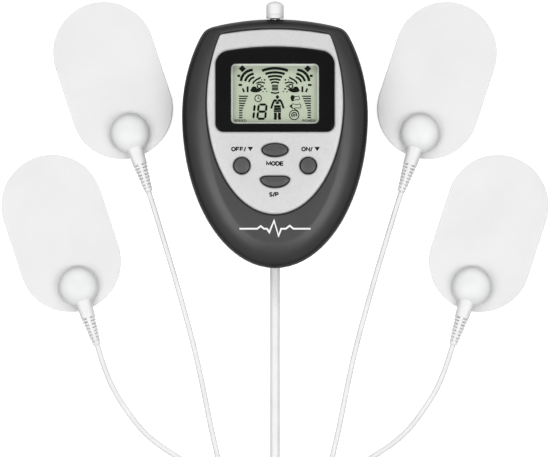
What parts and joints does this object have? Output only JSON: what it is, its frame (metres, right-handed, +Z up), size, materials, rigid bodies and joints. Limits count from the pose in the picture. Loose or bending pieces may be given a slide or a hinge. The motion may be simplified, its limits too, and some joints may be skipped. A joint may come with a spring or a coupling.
{
  "type": "tens unit",
  "caption": "Palm-sized TENS massage unit with a display and keys, lying beside press-stud electrode pads on a plug-in lead.",
  "frame": {"origin": "on the table, under the middle of the box round the unit and its pads", "axes": "+X to the unit's right across the pads, +Y towards the plug end, +Z up out of the unit's face"},
  "size_m": [0.2318, 0.275, 0.0249],
  "materials": {
    "case": "fine moulded texture, dark grey",
    "faceplate": "silver satin paint",
    "window": "polished black window",
    "display": "grey-green liquid crystal display",
    "display_frame": "moulded, off-white",
    "dark_rubber": "soft, black",
    "keys": "satin silicone, grey",
    "board": "green solder mask",
    "chips": "moulded, black",
    "batteries": "printed wrap",
    "steel": "nickel plated",
    "lead": "satin white PVC",
    "pad": "white foam with a non-woven face",
    "gel": "clear tacky hydrogel"
  },
  "bodies": {
    "unit": {"battery_1": "batteries", "battery_2": "batteries", "capacitor": "chips", "contact_bridge": "steel", "contact_plus": "steel", "contact_spring_1": "steel", "contact_spring_2": "steel", "controller_chip": "chips", "display_lens": "window", "faceplate": "faceplate", "front_shell": "case", "keypad_mat": "dark_rubber", "lcd_frame": "display_frame", "lcd_glass": "display", "lens_gasket": "dark_rubber", "main_board": "board", "output_jack": "chips", "rear_shell": "case", "screw_1": "steel", "screw_2": "steel", "screw_3": "steel", "screw_4": "steel", "transformer": "chips", "zebra_strip": "dark_rubber"},
    "battery_door": {"battery_door": "case"},
    "key_off": {"key_off": "keys"},
    "key_on": {"key_on": "keys"},
    "key_mode": {"key_mode": "keys"},
    "key_sp": {"key_sp": "keys"},
    "lead_set": {"lead_coil_left": "lead", "lead_coil_right": "lead", "plug_body": "lead", "plug_pin": "steel", "splitter": "lead", "trunk_cord": "lead", "lead_1": "lead", "snap_connector_1": "lead", "snap_socket_1": "steel", "lead_2": "lead", "snap_connector_2": "lead", "snap_socket_2": "steel", "lead_3": "lead", "snap_connector_3": "lead", "snap_socket_3": "steel", "lead_4": "lead", "snap_connector_4": "lead", "snap_socket_4": "steel"},
    "pad_1": {"pad_backing_1": "pad", "pad_gel_1": "gel", "pad_stud_1": "steel"},
    "pad_2": {"pad_backing_2": "pad", "pad_gel_2": "gel", "pad_stud_2": "steel"},
    "pad_3": {"pad_backing_3": "pad", "pad_gel_3": "gel", "pad_stud_3": "steel"},
    "pad_4": {"pad_backing_4": "pad", "pad_gel_4": "gel", "pad_stud_4": "steel"}
  },
  "joints": [
    {"name": "key_off_press", "type": "slide", "parent": "unit", "child": "key_off", "axis": [0, 0, -1], "range_m": [0, 0.0005], "stiffness_N_per_m": 1500, "springref_m": -0.0001},
    {"name": "key_on_press", "type": "slide", "parent": "unit", "child": "key_on", "axis": [0, 0, -1], "range_m": [0, 0.0005], "stiffness_N_per_m": 1500, "springref_m": -0.0001},
    {"name": "key_mode_press", "type": "slide", "parent": "unit", "child": "key_mode", "axis": [0, 0, -1], "range_m": [0, 0.0005], "stiffness_N_per_m": 1500, "springref_m": -0.0001},
    {"name": "key_sp_press", "type": "slide", "parent": "unit", "child": "key_sp", "axis": [0, 0, -1], "range_m": [0, 0.0005], "stiffness_N_per_m": 1500, "springref_m": -0.0001},
    {"name": "battery_door_slide", "type": "slide", "parent": "unit", "child": "battery_door", "axis": [0, -1, 0], "range_m": [0, 0.045]},
    {"name": "plug_pull", "type": "slide", "parent": "unit", "child": "lead_set", "axis": [0, 1, 0], "range_m": [0, 0.014]},
    {"name": "pad_1_swivel", "type": "hinge", "parent": "lead_set", "child": "pad_1", "pos_m": [-0.06141, 0.00996, 0.0045], "axis": [0, 0, 1], "range_deg": [-8, 12]},
    {"name": "pad_2_swivel", "type": "hinge", "parent": "lead_set", "child": "pad_2", "pos_m": [-0.08331, -0.05484, 0.0045], "axis": [0, 0, 1], "range_deg": [-8, 35]},
    {"name": "pad_3_swivel", "type": "hinge", "parent": "lead_set", "child": "pad_3", "pos_m": [0.06141, 0.00996, 0.0045], "axis": [0, 0, 1], "range_deg": [-12, 8]},
    {"name": "pad_4_swivel", "type": "hinge", "parent": "lead_set", "child": "pad_4", "pos_m": [0.08331, -0.05484, 0.0045], "axis": [0, 0, 1], "range_deg": [-35, 8]}
  ]
}
